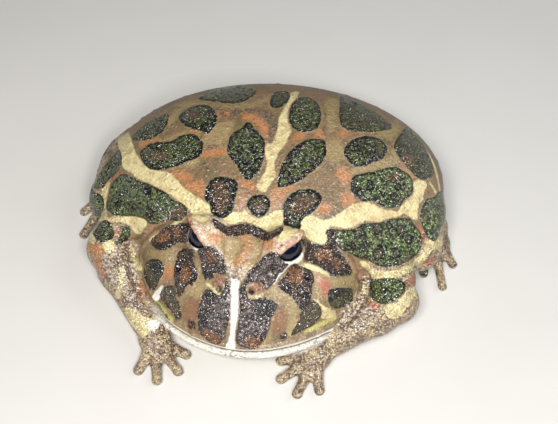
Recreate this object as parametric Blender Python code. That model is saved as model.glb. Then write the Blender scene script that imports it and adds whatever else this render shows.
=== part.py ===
# Argentine horned frog at life size, sitting on its belly with its mouth shut.
# It faces -Y, its left side is +X and it rests on the floor at Z = 0.
# Sizes below are in millimetres and are turned into metres as each form is made.

import math

import bmesh
import bpy
from mathutils import Matrix, Vector

MM = 0.001
GAP = 0.3  # clearance kept between two pieces that touch

# Driving dimensions of the animal
BODY_LENGTH = 105.0  # snout to rump along the floor
BODY_WIDTH = 115.0
BODY_HEIGHT = 45.0
HEAD_WIDTH = 70.0
HEAD_LENGTH = 35.0
SNOUT_Y = -55.0
RUMP_Y = SNOUT_Y + BODY_LENGTH
LIP_HEIGHT = 13.5  # mouth line at the snout
JAW_CORNER_HEIGHT = 7.5  # mouth line at the jaw's corner
EYE_RADIUS = 4.7
EYE_SPACING = 26.6  # between the middles of the two eyeballs
EYE_Y = -28.7
EYE_HEIGHT = 36.1
HORN_HEIGHT = 5.2  # tip of the lid's horn above the middle of the eye
GAZE = Vector((0.66, -0.55, 0.51))  # the way the left eye looks out of its bulge
NOSTRIL_SPACING = 5.4
NOSTRIL_AHEAD = 7.5  # of the middle of the eyes
NOSTRIL_RADIUS = 0.8

NECK_Y = SNOUT_Y + HEAD_LENGTH
BODY_Y = 12.0
BACK_MIDDLE = 19.5  # height of the widest part of the back
SPINE_SHIFT = 7.0  # the rump lies this far to the frog's left of its head
SPINE_CURVE = 1.4  # how late along the back that shift comes
MOUTH_CURVE = 1.3  # how late towards the jaw's corner the mouth line falls

# How softly one swelling runs into the next
BODY_BLEND = 8.0
HEAD_BLEND = 5.5
EYE_BLEND = 2.8
LID_BLEND = 1.6
EDGE_BLEND = 0.6

# The upper lid's rim from the horn to the snout, measured from the middle of the left eye
LID_RIM = [
    (3.9, 2.4, HORN_HEIGHT),
    (3.4, 1.0, 5.1),
    (2.6, -0.5, 5.0),
    (1.2, -2.2, 4.8),
    (-0.6, -3.8, 3.8),
    (-2.4, -5.0, 2.2),
    (-4.2, -6.2, 0.2),
]
# Where the lid meets the forehead, inwards of each point of the rim
LID_ROOT = [
    (-4.6, 4.6, 0.9),
    (-5.4, 2.8, 1.2),
    (-5.8, 0.8, 1.2),
    (-6.0, -1.4, 1.0),
    (-6.0, -3.4, 0.5),
    (-6.0, -5.4, -0.4),
    (-6.4, -7.0, -1.6),
]
LID_RIM_RADIUS = 0.7
LID_ROOT_RADIUS = 1.4
LID_CROWN = (-0.8, 0.4, 1.6)  # middle of the arch that carries the lid over the eyeball
LID_CROWN_RADII = (5.7, 5.7, 4.1)
LID_FACING = Vector((0.715, -0.368, -0.594))  # the way the lid's opening looks
LOWER_LID = 0.7  # height of the lower lid's edge above the middle of the eye
LOWER_LID_SLOPE = Vector((-0.30, -0.20, 1.0))  # it climbs outwards and to the back
LOWER_LID_RADIUS = 6.0


class Field:
    # A signed distance worked out by geometry nodes: below zero inside the form.
    def __init__(self, name, mirrored):
        self.tree = bpy.data.node_groups.new(name, "GeometryNodeTree")
        self.tree.interface.new_socket("Geometry", in_out="OUTPUT", socket_type="NodeSocketGeometry")
        self.place = self.tree.nodes.new("GeometryNodeInputPosition").outputs["Position"]
        if mirrored:
            # Both halves are alike about a spine that curves towards the frog's left.
            parts = self.tree.nodes.new("ShaderNodeSeparateXYZ")
            self.tree.links.new(self.place, parts.inputs[0])
            back = self.number("SUBTRACT", parts.outputs["Y"], NECK_Y * MM)
            share = self.number("DIVIDE", back, (RUMP_Y - NECK_Y) * MM, clamped=True)
            late = self.number("POWER", share, SPINE_CURVE)
            shift = self.number("MULTIPLY", late, SPINE_SHIFT * MM)
            across = self.number("ABSOLUTE", self.number("SUBTRACT", parts.outputs["X"], shift))
            joined = self.tree.nodes.new("ShaderNodeCombineXYZ")
            self.tree.links.new(across, joined.inputs["X"])
            self.tree.links.new(parts.outputs["Y"], joined.inputs["Y"])
            self.tree.links.new(parts.outputs["Z"], joined.inputs["Z"])
            self.place = joined.outputs[0]
        self.distance = None

    def fill(self, sockets, values):
        for socket, value in zip(sockets, values):
            if isinstance(value, bpy.types.NodeSocket):
                self.tree.links.new(value, socket)
            else:
                socket.default_value = value

    def number(self, operation, *values, clamped=False):
        made = self.tree.nodes.new("ShaderNodeMath")
        made.operation = operation
        made.use_clamp = clamped
        self.fill(made.inputs, values)
        return made.outputs[0]

    def vector(self, operation, *values, out="Vector"):
        made = self.tree.nodes.new("ShaderNodeVectorMath")
        made.operation = operation
        self.fill(made.inputs, values)
        return made.outputs[out]

    def ellipsoid(self, centre, radii, turn=(0.0, 0.0, 0.0)):
        offset = self.vector("SUBTRACT", self.place, Vector(centre) * MM)
        if any(turn):
            turned = self.tree.nodes.new("ShaderNodeVectorRotate")
            turned.rotation_type = "EULER_XYZ"
            turned.invert = True
            self.fill([turned.inputs["Vector"]], [offset])
            turned.inputs["Rotation"].default_value = [math.radians(a) for a in turn]
            offset = turned.outputs[0]
        near = self.vector("DIVIDE", offset, Vector(radii) * MM)
        slope = self.vector("LENGTH", self.vector("DIVIDE", near, Vector(radii) * MM), out="Value")
        reach = self.vector("LENGTH", near, out="Value")
        past = self.number("SUBTRACT", reach, 1.0)
        return self.number("DIVIDE", self.number("MULTIPLY", reach, past), slope)

    def limb(self, start, end, start_radius, end_radius):
        start, end = Vector(start) * MM, Vector(end) * MM
        offset = self.vector("SUBTRACT", self.place, start)
        along = self.vector("DOT_PRODUCT", offset, (end - start) / (end - start).length_squared, out="Value")
        share = self.number("MULTIPLY", along, 1.0, clamped=True)
        scaled = self.tree.nodes.new("ShaderNodeVectorMath")
        scaled.operation = "SCALE"
        scaled.inputs[0].default_value = end - start
        self.tree.links.new(share, scaled.inputs["Scale"])
        away = self.vector("LENGTH", self.vector("SUBTRACT", offset, scaled.outputs["Vector"]), out="Value")
        radius = self.number("MULTIPLY_ADD", share, (end_radius - start_radius) * MM, start_radius * MM)
        return self.number("SUBTRACT", away, radius)

    def bowl(self, centre, radii, edge, up):
        # The part of an ellipsoid that lies below a sloping plane through the edge point.
        offset = self.vector("SUBTRACT", self.place, Vector(edge) * MM)
        above = self.vector("DOT_PRODUCT", offset, up.normalized(), out="Value")
        return self.number("SMOOTH_MAX", self.ellipsoid(centre, radii), above, EDGE_BLEND * MM)

    def add(self, distance, blend):
        if self.distance is None:
            self.distance = distance
        else:
            self.distance = self.number("SMOOTH_MIN", self.distance, distance, blend * MM)

    def mesh(self, low, high, voxel):
        # The closed surface where the distance is zero.
        nodes, links = self.tree.nodes, self.tree.links
        low, high = Vector(low) * MM, Vector(high) * MM
        cube = nodes.new("GeometryNodeVolumeCube")
        links.new(self.number("MULTIPLY", self.distance, -1.0), cube.inputs["Density"])
        cube.inputs["Background"].default_value = -1.0
        cube.inputs["Min"].default_value = low
        cube.inputs["Max"].default_value = high
        for axis, side in zip("XYZ", high - low):
            cube.inputs["Resolution " + axis].default_value = math.ceil(side / (voxel * MM))
        surface = nodes.new("GeometryNodeVolumeToMesh")
        links.new(cube.outputs[0], surface.inputs["Volume"])
        surface.inputs["Threshold"].default_value = 0.0
        end = nodes.new("NodeGroupOutput")
        links.new(surface.outputs[0], end.inputs[0])
        return self.tree


def link(obj, collection):
    collection.objects.link(obj)
    return obj


def applied(obj):
    # Replaces the object's mesh with the one that its modifiers make.
    evaluated = obj.evaluated_get(bpy.context.evaluated_depsgraph_get())
    mesh = bpy.data.meshes.new_from_object(evaluated)
    obj.modifiers.clear()
    obj.data = mesh
    return obj


def from_field(name, forms, low, high, voxel, triangles, mirrored=False):
    # One closed body from a list of (form, blend), thinned to about that many triangles.
    field = Field(name, mirrored)
    for form, blend in forms:
        field.add(form(field), blend)
    obj = link(bpy.data.objects.new(name, bpy.data.meshes.new(name)), frog)
    obj.modifiers.new("form", "NODES").node_group = field.mesh(low, high, voxel)
    applied(obj)
    obj.data.calc_loop_triangles()
    thin = obj.modifiers.new("thin", "DECIMATE")
    thin.ratio = min(1.0, triangles / len(obj.data.loop_triangles))
    return keep_largest(applied(obj))


def ellipsoid(centre, radii, turn=(0.0, 0.0, 0.0)):
    return lambda field: field.ellipsoid(centre, radii, turn)


def limb(start, end, start_radius, end_radius):
    return lambda field: field.limb(start, end, start_radius, end_radius)


def bowl(centre, radii, edge, up):
    return lambda field: field.bowl(centre, radii, edge, up)


def keep_largest(obj):
    # Leaves only the largest closed surface of a mesh.
    form = bmesh.new()
    form.from_mesh(obj.data)
    left = set(form.verts)
    pieces = []
    while left:
        seed = left.pop()
        piece, edge = {seed}, [seed]
        while edge:
            for link_edge in edge.pop().link_edges:
                for vert in link_edge.verts:
                    if vert in left:
                        left.remove(vert)
                        piece.add(vert)
                        edge.append(vert)
        pieces.append(piece)
    areas = [sum(face.calc_area() for face in {f for v in piece for f in v.link_faces}) for piece in pieces]
    largest = pieces[areas.index(max(areas))]
    scraps = [vert for piece in pieces if piece is not largest for vert in piece]
    bmesh.ops.delete(form, geom=scraps, context="VERTS")
    form.to_mesh(obj.data)
    form.free()
    return obj


def cut(obj, cutter, folded=False):
    # Takes the cutter away from the object; a folded cutter may pass through itself.
    boolean = obj.modifiers.new("cut", "BOOLEAN")
    boolean.operation = "DIFFERENCE"
    boolean.object = cutter
    boolean.solver = "EXACT"
    boolean.use_self = folded
    return keep_largest(applied(obj))


def grown(obj):
    # A copy of a piece that is larger by the gap, to cut its neighbours with.
    copy = link(bpy.data.objects.new(obj.name + "_grown", obj.data.copy()), cutters)
    swell = copy.modifiers.new("swell", "DISPLACE")
    swell.strength = GAP * MM
    swell.mid_level = 0.0
    applied(copy)
    copy.hide_render = True
    copy.display_type = "WIRE"
    return copy


def prism(name, outline, half_width):
    # A closed cutter: an outline in the YZ plane, drawn out to both sides along X.
    form = bmesh.new()
    ring = [form.verts.new((-half_width * MM, y * MM, z * MM)) for y, z in outline]
    face = form.faces.new(ring)
    side = bmesh.ops.extrude_face_region(form, geom=[face])["geom"]
    moved = [part for part in side if isinstance(part, bmesh.types.BMVert)]
    bmesh.ops.translate(form, verts=moved, vec=(2 * half_width * MM, 0.0, 0.0))
    bmesh.ops.recalc_face_normals(form, faces=form.faces)
    mesh = bpy.data.meshes.new(name)
    form.to_mesh(mesh)
    form.free()
    obj = link(bpy.data.objects.new(name, mesh), cutters)
    obj.hide_render = True
    obj.display_type = "WIRE"
    return obj


def mouth_height(y):
    # The mouth line falls from the snout to the corners of the jaw.
    back = (y - SNOUT_Y) / (NECK_Y - SNOUT_Y)
    return LIP_HEIGHT + (JAW_CORNER_HEIGHT - LIP_HEIGHT) * back**MOUTH_CURVE


def nostril(obj, side):
    # A pit in the snout, at the skin above the place given.
    above = Vector((side * NOSTRIL_SPACING / 2, EYE_Y - NOSTRIL_AHEAD, 80)) * MM
    hit, place, _, _ = obj.ray_cast(above, (0, 0, -1))
    bpy.ops.mesh.primitive_ico_sphere_add(subdivisions=2, radius=NOSTRIL_RADIUS * MM, location=place)
    pit = bpy.context.object
    pit.name = "nostril_" + SIDE_NAMES[side]
    pit.hide_render = True
    pit.display_type = "WIRE"
    for owner in list(pit.users_collection):
        owner.objects.unlink(pit)
    link(pit, cutters)
    return cut(obj, pit)


def copy_of(obj, name):
    return link(bpy.data.objects.new(name, obj.data.copy()), frog)


def trunk_form():
    # Each line is one swelling: its middle, its radii and how softly it joins the rest.
    widest = (BODY_WIDTH / 2, RUMP_Y - BODY_Y, BODY_HEIGHT - BACK_MIDDLE)
    eye = Vector((EYE_SPACING / 2, EYE_Y, EYE_HEIGHT))
    socket = (LOWER_LID_RADIUS, LOWER_LID_RADIUS, LOWER_LID_RADIUS)
    back = [
        (ellipsoid((0, BODY_Y, BACK_MIDDLE), widest), 0),
        (ellipsoid((30, BODY_Y - 9, 14), (27, 29, 15)), BODY_BLEND),  # flank
        (ellipsoid((0, 37, 14), (24, 14, 14)), BODY_BLEND),  # rump
        (ellipsoid((0, -8, 23), (42, 22, 18.5)), BODY_BLEND),  # shoulders
        (ellipsoid((0, BODY_Y, 9), (46, 36, 10)), BODY_BLEND),  # belly
    ]
    head = [
        (ellipsoid((0, -25, 11), (HEAD_WIDTH / 2, -25 - SNOUT_Y, 8.5)), HEAD_BLEND),  # upper jaw
        (ellipsoid((17, -22, 17), (18, 20, 13)), HEAD_BLEND),  # cheek
        (ellipsoid((0, -21, 25), (21, 19, 11.5)), HEAD_BLEND),  # crown
        (ellipsoid((0, -30, 15.5), (23, 22, 14.5)), BODY_BLEND),  # snout
        (ellipsoid((0, -32, 28.5), (9.5, 8, 7)), HEAD_BLEND),  # bridge between the eyes
        (ellipsoid(eye + Vector((-2.0, 1.6, -3.3)), (6.6, 7.8, 6.3)), EYE_BLEND),  # bulge of the eye
        (bowl(eye, socket, eye + Vector((0, 0, LOWER_LID)), LOWER_LID_SLOPE), EYE_BLEND),
        (limb(eye + Vector((5, 6, -5)), (HEAD_WIDTH / 2, -19, 18), 2.2, 2.6), HEAD_BLEND),  # fold behind it
        (ellipsoid((0, -23, 7.5), (HEAD_WIDTH / 2 - 0.6, 29.6, 8)), EYE_BLEND),  # lower jaw
    ]
    return from_field("trunk", back + head, (-60, -60, -9), (60, 60, 50), 1.2, 5000, mirrored=True)


def horn_form(side):
    # The upper lid, a firm fold from the forehead to a thin rim that ends in a short horn.
    eye = Vector((side * EYE_SPACING / 2, EYE_Y, EYE_HEIGHT))
    rim = [eye + Vector((side * x, y, z)) for x, y, z in LID_RIM]
    root = [eye + Vector((side * x, y, z)) for x, y, z in LID_ROOT]
    crown = eye + Vector((side * LID_CROWN[0], LID_CROWN[1], LID_CROWN[2]))
    facing = Vector((side * LID_FACING.x, LID_FACING.y, LID_FACING.z))
    forms = [(bowl(crown, LID_CROWN_RADII, rim[3], facing), 0)]
    forms += [(limb(a, b, LID_ROOT_RADIUS, LID_RIM_RADIUS), LID_BLEND) for a, b in zip(root, rim)]
    forms += [(limb(a, b, LID_RIM_RADIUS, LID_RIM_RADIUS), EDGE_BLEND) for a, b in zip(rim, rim[1:])]
    behind = eye + Vector((side * 2.2, EYE_RADIUS, 0.5))
    forms.append((limb(rim[0], behind, LID_RIM_RADIUS, LID_ROOT_RADIUS), LID_BLEND))
    low = eye - Vector((9, 10, 5))
    high = eye + Vector((9, 9, 9))
    return from_field("horn_" + SIDE_NAMES[side], forms, low, high, 0.35, 520)


def eyeball(side):
    bpy.ops.mesh.primitive_uv_sphere_add(segments=20, ring_count=12, radius=EYE_RADIUS * MM)
    eye = bpy.context.object
    eye.name = "eye_" + SIDE_NAMES[side]
    eye.location = Vector((side * EYE_SPACING / 2, EYE_Y, EYE_HEIGHT)) * MM
    gaze = Vector((side * GAZE.x, GAZE.y, GAZE.z))
    eye.rotation_euler = gaze.to_track_quat("Z", "Y").to_euler()
    bpy.context.view_layer.update()
    eye.data.transform(eye.matrix_world)
    eye.matrix_world.identity()
    for owner in list(eye.users_collection):
        owner.objects.unlink(eye)
    return link(eye, frog)


# Where each limb bends: the frog's right arm reaches a little further forward than its left one.
ARMS = {
    1: {"shoulder": (38, -8, 16), "elbow": (48, -26, 11.5), "wrist": (29, -42, 5.5)},
    -1: {"shoulder": (-39, -4, 16), "elbow": (-48, -22.5, 12), "wrist": (-30, -45, 5.5)},
}
LEGS = {
    1: {
        "hip": (38, 28, 16),
        "thigh": (46, 12, 16.5),
        "knee": (54, -5, 13.5),
        "heel": (50, 33, 7.2),
        "ball": (58, 13, 3.2),
    },
    -1: {
        "hip": (-29, 27, 16),
        "thigh": (-44.5, 13, 17),
        "knee": (-53, -3, 13.5),
        "heel": (-45, 33, 7.2),
        "ball": (-57, 13, 3.2),
    },
}
SIDE_NAMES = {1: "left", -1: "right"}

# Digits as (angle from straight ahead, outwards, and length), from the inner one out
FINGERS = [(-78, 11), (-48, 13), (-16, 13.5), (16, 11)]
TOES = [(-38, 11), (-18, 15), (-2, 20), (14, 25), (32, 17)]
FINGER_RADIUS = 1.75
TOE_RADIUS = 1.6
DIGIT_HEIGHT = 1.35  # middle of a digit above the floor, so that the floor cut gives it a flat


def digit(start, angle, length, radius, side):
    # A finger or toe in two bones with a rounded tip, lying on the floor.
    turn = math.radians(angle)
    ahead = Vector((side * math.sin(turn), -math.cos(turn), 0.0))
    knuckle = Vector(start) + ahead * length * 0.5
    knuckle.z = DIGIT_HEIGHT + 1.2
    tip = Vector(start) + ahead * length
    tip.z = DIGIT_HEIGHT
    return [
        (limb(start, knuckle, radius * 1.25, radius), 1.2),
        (limb(knuckle, tip, radius, radius * 0.85), 1.0),
        (ellipsoid(tip, (radius, radius, radius * 0.9)), 0.8),
    ]


def bounds_of(points, margin):
    low = [min(p[axis] for p in points) - margin for axis in range(3)]
    high = [max(p[axis] for p in points) + margin for axis in range(3)]
    return low, high


def upper_arm(side):
    bend = ARMS[side]
    forms = [(limb(bend["shoulder"], bend["elbow"], 12.5, 8.4), 0)]
    low, high = bounds_of([bend["shoulder"], bend["elbow"]], 14)
    return from_field("upper_arm_" + SIDE_NAMES[side], forms, low, high, 1.0, 320)


def forearm(side):
    bend = ARMS[side]
    elbow, wrist = Vector(bend["elbow"]), Vector(bend["wrist"])
    muscle = elbow.lerp(wrist, 0.3)
    forms = [
        (limb(elbow, wrist, 7.6, 5.2), 0),
        (ellipsoid(muscle, (7.8, 7.8, 7.6)), 3),
    ]
    low, high = bounds_of([elbow, wrist], 11)
    return from_field("forearm_" + SIDE_NAMES[side], forms, low, high, 0.8, 360)


def hand(side):
    wrist = Vector(ARMS[side]["wrist"])
    palm = wrist + Vector((side * -3.5, -4.5, -1.6))
    forms = [
        (ellipsoid(wrist, (4.6, 4.6, 4.2)), 0),
        (ellipsoid(palm, (5.4, 5.0, 3.4)), 2.5),
    ]
    root = Vector((palm.x, palm.y, 2.6))
    for angle, length in FINGERS:
        forms += digit(root, angle, length, FINGER_RADIUS, side)
    low, high = bounds_of([wrist, palm], 19)
    low[2], high[2] = -2.5, wrist.z + 6
    return from_field("hand_" + SIDE_NAMES[side], forms, low, high, 0.6, 700)


def thigh(side):
    bend = LEGS[side]
    hip, knee = Vector(bend["hip"]), Vector(bend["knee"])
    forms = [
        (limb(hip, knee, 12.5, 8.0), 0),
        (ellipsoid(bend["thigh"], (14.5, 21, 11.5), (0, 0, side * 24)), 5),
    ]
    low, high = bounds_of([hip, knee], 18)
    return from_field("thigh_" + SIDE_NAMES[side], forms, low, high, 1.2, 520)


def shank(side):
    bend = LEGS[side]
    knee, heel = Vector(bend["knee"]), Vector(bend["heel"])
    start = knee + Vector((side * 2.0, 2.5, -5.0))
    calf = start.lerp(heel, 0.35)
    forms = [
        (limb(start, heel, 6.0, 4.4), 0),
        (ellipsoid(calf, (6.9, 14, 6.2)), 4),
    ]
    low, high = bounds_of([knee, heel], 14)
    return from_field("shank_" + SIDE_NAMES[side], forms, low, high, 1.0, 380)


def foot(side):
    bend = LEGS[side]
    heel, ball = Vector(bend["heel"]) + Vector((side, 1.5, -2.6)), Vector(bend["ball"])
    forms = [
        (limb(heel, ball, 3.9, 3.2), 0),
        (ellipsoid(ball, (6.2, 6.5, 3.0)), 2.5),
        (ellipsoid(ball + Vector((side * -4.5, 3.0, -1.0)), (1.9, 3.6, 2.6)), 1.0),
    ]
    root = Vector((ball.x, ball.y, 2.6))
    for angle, length in TOES:
        forms += digit(root, angle, length, TOE_RADIUS, side)
    web = ball + Vector((side * 1.5, -7.0, 0))
    web.z = 1.7
    forms.append((ellipsoid(web, (6.5, 8.5, 1.0)), 1.5))
    low, high = bounds_of([heel, ball], 10)
    low[1] = ball.y - 31
    low[2], high[2] = -2.5, heel.z + 7
    if side > 0:
        high[0] = ball.x + 18
    else:
        low[0] = ball.x - 18
    return from_field("foot_" + SIDE_NAMES[side], forms, low, high, 0.7, 800)


def material(name, colour, roughness):
    made = bpy.data.materials.new(name)
    made.use_nodes = True
    shader = made.node_tree.nodes["Principled BSDF"]
    shader.inputs["Base Color"].default_value = (*colour, 1.0)
    shader.inputs["Roughness"].default_value = roughness
    return made


for old in list(bpy.data.objects):
    bpy.data.objects.remove(old)

frog = bpy.data.collections.new("horned_frog")
cutters = bpy.data.collections.new("cutters")
for collection in (frog, cutters):
    bpy.context.scene.collection.children.link(collection)

trunk = trunk_form()
trunk_grown = grown(trunk)
floor = prism("floor", [(-90, -20), (90, -20), (90, 0), (-90, 0)], 90)

# The trunk is parted into torso, head and lower jaw by thin cuts.
neck = [(NECK_Y - 1, -20), (NECK_Y + 1, 10), (NECK_Y + 1, 24), (NECK_Y - 1, 38), (NECK_Y - 3, 60)]
behind_neck = prism("behind_neck", neck + [(90, 60), (90, -20)], 90)
before_neck = prism("before_neck", [(y + GAP, z) for y, z in neck] + [(-90, 60), (-90, -20)], 90)
MOUTH_STEPS = 8
line = [SNOUT_Y - 4 + (NECK_Y + 8 - SNOUT_Y) * step / MOUTH_STEPS for step in range(MOUTH_STEPS + 1)]
mouth = [(y, mouth_height(max(y, SNOUT_Y))) for y in line]
below_mouth = prism("below_mouth", [(y, z) for y, z in mouth] + [(line[-1], -20), (line[0], -20)], 60)
above_mouth = prism("above_mouth", [(y, z - GAP) for y, z in mouth] + [(line[-1], 60), (line[0], 60)], 60)

torso = cut(copy_of(trunk, "torso"), before_neck)
head = cut(cut(copy_of(trunk, "head"), behind_neck), below_mouth)
jaw = cut(cut(copy_of(trunk, "lower_jaw"), behind_neck), above_mouth)

for side in (1, -1):
    nostril(head, side)
    eye = eyeball(side)
    horn = horn_form(side)
    eye_grown = grown(eye)
    cut(head, eye_grown)
    cut(head, grown(horn), folded=True)
    cut(horn, eye_grown)
    # Each piece of a limb gives way to the trunk and to the pieces made before it.
    before = [trunk_grown]
    for make in (upper_arm, forearm, hand, thigh, shank, foot):
        piece = make(side)
        piece_grown = grown(piece)
        for neighbour in before:
            cut(piece, neighbour)
        before.append(piece_grown)

bpy.data.objects.remove(trunk)
for obj in list(frog.objects):
    cut(obj, floor)

# The model's middle is brought over the origin, and each piece gets its material.
corners = [vert.co for obj in frog.objects for vert in obj.data.vertices]
middle = [(min(c[axis] for c in corners) + max(c[axis] for c in corners)) / 2 for axis in (0, 1)]
base = min(c.z for c in corners)
skin = material("skin", (0.23, 0.17, 0.08), 0.35)
throat = material("throat_skin", (0.72, 0.68, 0.50), 0.4)
lid = material("horn_skin", (0.70, 0.38, 0.20), 0.4)
cornea = material("eye", (0.02, 0.02, 0.03), 0.08)
for obj in frog.objects:
    obj.data.transform(Matrix.Translation((-middle[0], -middle[1], -base)))
    kind = obj.name.split("_")[0]
    obj.data.materials.clear()
    obj.data.materials.append({"eye": cornea, "horn": lid, "lower": throat}.get(kind, skin))
print("moved by mm", [round(-value / MM, 3) for value in (*middle, base)])
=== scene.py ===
import math
import random

import bmesh
import bpy
import numpy as np
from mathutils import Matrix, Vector
from mathutils.bvhtree import BVHTree
from mathutils.kdtree import KDTree


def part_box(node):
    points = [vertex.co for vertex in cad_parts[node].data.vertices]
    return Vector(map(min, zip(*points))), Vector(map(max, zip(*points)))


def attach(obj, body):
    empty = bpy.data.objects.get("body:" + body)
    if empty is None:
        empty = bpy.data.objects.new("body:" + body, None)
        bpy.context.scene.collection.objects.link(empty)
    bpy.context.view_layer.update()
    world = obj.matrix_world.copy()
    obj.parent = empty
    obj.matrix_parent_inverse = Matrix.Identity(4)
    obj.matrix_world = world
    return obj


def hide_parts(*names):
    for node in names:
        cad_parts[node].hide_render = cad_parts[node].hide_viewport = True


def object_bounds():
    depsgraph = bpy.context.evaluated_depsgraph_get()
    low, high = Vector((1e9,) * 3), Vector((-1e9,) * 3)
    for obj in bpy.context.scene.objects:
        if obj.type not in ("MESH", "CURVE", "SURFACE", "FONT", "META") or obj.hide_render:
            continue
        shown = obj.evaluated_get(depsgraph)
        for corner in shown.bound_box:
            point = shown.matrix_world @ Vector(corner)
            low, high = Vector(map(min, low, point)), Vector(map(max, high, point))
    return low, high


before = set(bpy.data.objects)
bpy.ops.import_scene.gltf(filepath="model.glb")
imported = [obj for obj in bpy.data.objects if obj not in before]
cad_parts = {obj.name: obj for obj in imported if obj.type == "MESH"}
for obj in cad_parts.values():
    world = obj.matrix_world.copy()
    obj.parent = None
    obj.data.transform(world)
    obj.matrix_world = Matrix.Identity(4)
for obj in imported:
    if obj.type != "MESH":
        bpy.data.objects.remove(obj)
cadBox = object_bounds()
mm = 0.001
scene = bpy.context.scene

photo = {
    "width": 558,
    "height": 424,
    "lens": 60.0,
    "sensor": 36.0,
    "azimuth": 10.0,  # degrees to the frog's left of straight ahead of its snout
    "elevation": 52.0,
    "distance": 285.0,  # mm from the aim
    "aim": (-0.5, -23.8, 36.0),
    "slide": (10.7, 10.1),  # mm to the right and up in the picture
}


def makeCamera():
    turn, rise = math.radians(photo["azimuth"]), math.radians(photo["elevation"])
    forward = Vector((-math.sin(turn) * math.cos(rise), math.cos(turn) * math.cos(rise), -math.sin(rise)))
    right = Vector((math.cos(turn), math.sin(turn), 0.0))
    up = right.cross(forward)
    place = Vector(photo["aim"]) - forward * photo["distance"] + right * photo["slide"][0] + up * photo["slide"][1]
    camera = bpy.data.objects.new("photoCamera", bpy.data.cameras.new("photoCamera"))
    camera.data.lens = photo["lens"]
    camera.data.sensor_width = photo["sensor"]
    camera.data.clip_start = 0.01
    camera.location = place * mm
    camera.rotation_euler = forward.to_track_quat("-Z", "Y").to_euler()
    scene.collection.objects.link(camera)
    scene.camera = camera
    return place * mm, right, up, forward


eyePoint, cameraRight, cameraUp, cameraForward = makeCamera()
pixelFocus = photo["lens"] / photo["sensor"] * photo["width"]
print("camera placed")


skin = {
    "voxel": 0.62,  # mm
    "grow": 0.2,  # closes the thin gaps between the pieces
    "steps": 34,  # rounds of smoothing
    "smoothing": 0.6,  # share of each round on the body
    "soft": {"hand": 0.16, "foot": 0.16, "horn": 0.12, "head": 0.55, "lower": 0.55},  # of that share elsewhere
    "triangles": 192000,
    "thin": {"head": 0.0, "horn": 0.0, "lower": 0.35, "hand": 0.4, "foot": 0.5},  # how far faces are thinned
}
eyeNodes = ["eye_left", "eye_right"]
fleshNodes = sorted(set(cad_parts) - set(eyeNodes))


def points(mesh):
    values = np.empty(len(mesh.vertices) * 3)
    mesh.vertices.foreach_get("co", values)
    return values.reshape(-1, 3)


def normals(mesh):
    values = np.empty(len(mesh.vertices) * 3, dtype=np.float32)
    mesh.vertex_normals.foreach_get("vector", values)
    return values.reshape(-1, 3).astype(float)


def edges(mesh):
    values = np.empty(len(mesh.edges) * 2, dtype=np.int32)
    mesh.edges.foreach_get("vertices", values)
    return values.reshape(-1, 2)


def setPoints(mesh, places):
    mesh.vertices.foreach_set("co", places.ravel())
    mesh.update()


def spread(values, pairs, share, rounds):
    # Each value moves towards the mean of its neighbours, by its own share
    first, second = pairs[:, 0], pairs[:, 1]
    size = len(values)
    count = np.maximum(np.bincount(pairs.ravel(), minlength=size), 1)
    for step in range(rounds):
        total = np.stack(
            [np.bincount(first, values[second, i], size) + np.bincount(second, values[first, i], size)
             for i in range(values.shape[1])], axis=1)
        values = values + share[:, None] * (total / count[:, None] - values)
    return values


def smoothStep(values, low, high):
    share = np.clip((values - low) / (high - low), 0.0, 1.0)
    return share * share * (3.0 - 2.0 * share)


def mergedFlesh():
    # Every flesh node's copy, each a hair larger, so that neighbours meet
    whole = bmesh.new()
    owners = []
    for index, name in enumerate(fleshNodes):
        part = bmesh.new()
        part.from_mesh(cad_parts[name].data)
        bmesh.ops.remove_doubles(part, verts=part.verts, dist=1e-6)
        part.normal_update()
        for vert in part.verts:
            vert.co += vert.normal * skin["grow"] * mm
        mesh = bpy.data.meshes.new(name + "Copy")
        part.to_mesh(mesh)
        owners += [index] * len(mesh.polygons)
        whole.from_mesh(mesh)
        part.free()
    return whole, owners


def dropScraps(obj):
    # Keeps the one large closed surface
    form = bmesh.new()
    form.from_mesh(obj.data)
    left = set(form.verts)
    largest = []
    while left:
        seed = left.pop()
        island, queue = [seed], [seed]
        while queue:
            for edge in queue.pop().link_edges:
                for vert in edge.verts:
                    if vert in left:
                        left.remove(vert)
                        island.append(vert)
                        queue.append(vert)
        if len(island) > len(largest):
            largest = island
    kept = set(largest)
    bmesh.ops.delete(form, geom=[vert for vert in form.verts if vert not in kept], context="VERTS")
    form.to_mesh(obj.data)
    form.free()


def applyModifiers(obj):
    made = bpy.data.meshes.new_from_object(obj.evaluated_get(bpy.context.evaluated_depsgraph_get()))
    obj.modifiers.clear()
    obj.data = made


def byPart(names, levels):
    # A level for each point by how its node's name starts, 1 for the rest
    values = np.ones(len(names))
    for start, level in levels.items():
        values[np.char.startswith(names, start)] = level
    return values


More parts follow.
